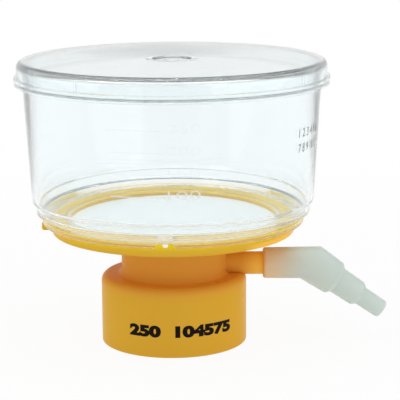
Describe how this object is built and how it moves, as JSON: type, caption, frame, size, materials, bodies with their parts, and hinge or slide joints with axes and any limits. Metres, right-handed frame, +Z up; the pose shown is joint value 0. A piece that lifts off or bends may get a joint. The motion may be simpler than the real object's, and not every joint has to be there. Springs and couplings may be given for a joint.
{
  "type": "bottle-top vacuum filtration unit",
  "caption": "Clear lidded funnel on a yellow filter base with a screw collar for a bottle neck and a side arm with a bent, stepped hose adapter that swivels.",
  "frame": {"origin": "middle of the bounding box's footprint, on the plane that the collar's rim stands on; the funnel, neck and collar share a vertical axis at x = -10.40 mm", "axes": "+Z up along the funnel and bottle axis, +X along the vacuum arm towards the hose adapter, -Y towards the front with the gate notch in the funnel's lip"},
  "size_m": [0.1286, 0.1078, 0.0989],
  "materials": {
    "clear_polystyrene": "clear, glossy moulded polystyrene",
    "yellow_polystyrene": "glossy moulded polystyrene in warm yellow, slightly translucent",
    "membrane_white": "matt white porous film",
    "natural_polyethylene": "milky, uncoloured moulded polyethylene",
    "seal_rubber": "matt white silicone rubber",
    "plug_fibre": "pressed white fibre"
  },
  "bodies": {
    "unit": {"lid": "clear_polystyrene", "funnel": "clear_polystyrene", "membrane": "membrane_white", "filter_base": "yellow_polystyrene", "bottle_seal": "seal_rubber", "arm_plug": "plug_fibre"},
    "hose_adapter": {"hose_adapter": "natural_polyethylene"}
  },
  "joints": [
    {"name": "adapter_swivel", "type": "hinge", "parent": "unit", "child": "hose_adapter", "pos_m": [0.0208, 0, 0.0268], "axis": [1, 0, 0], "continuous": true}
  ]
}
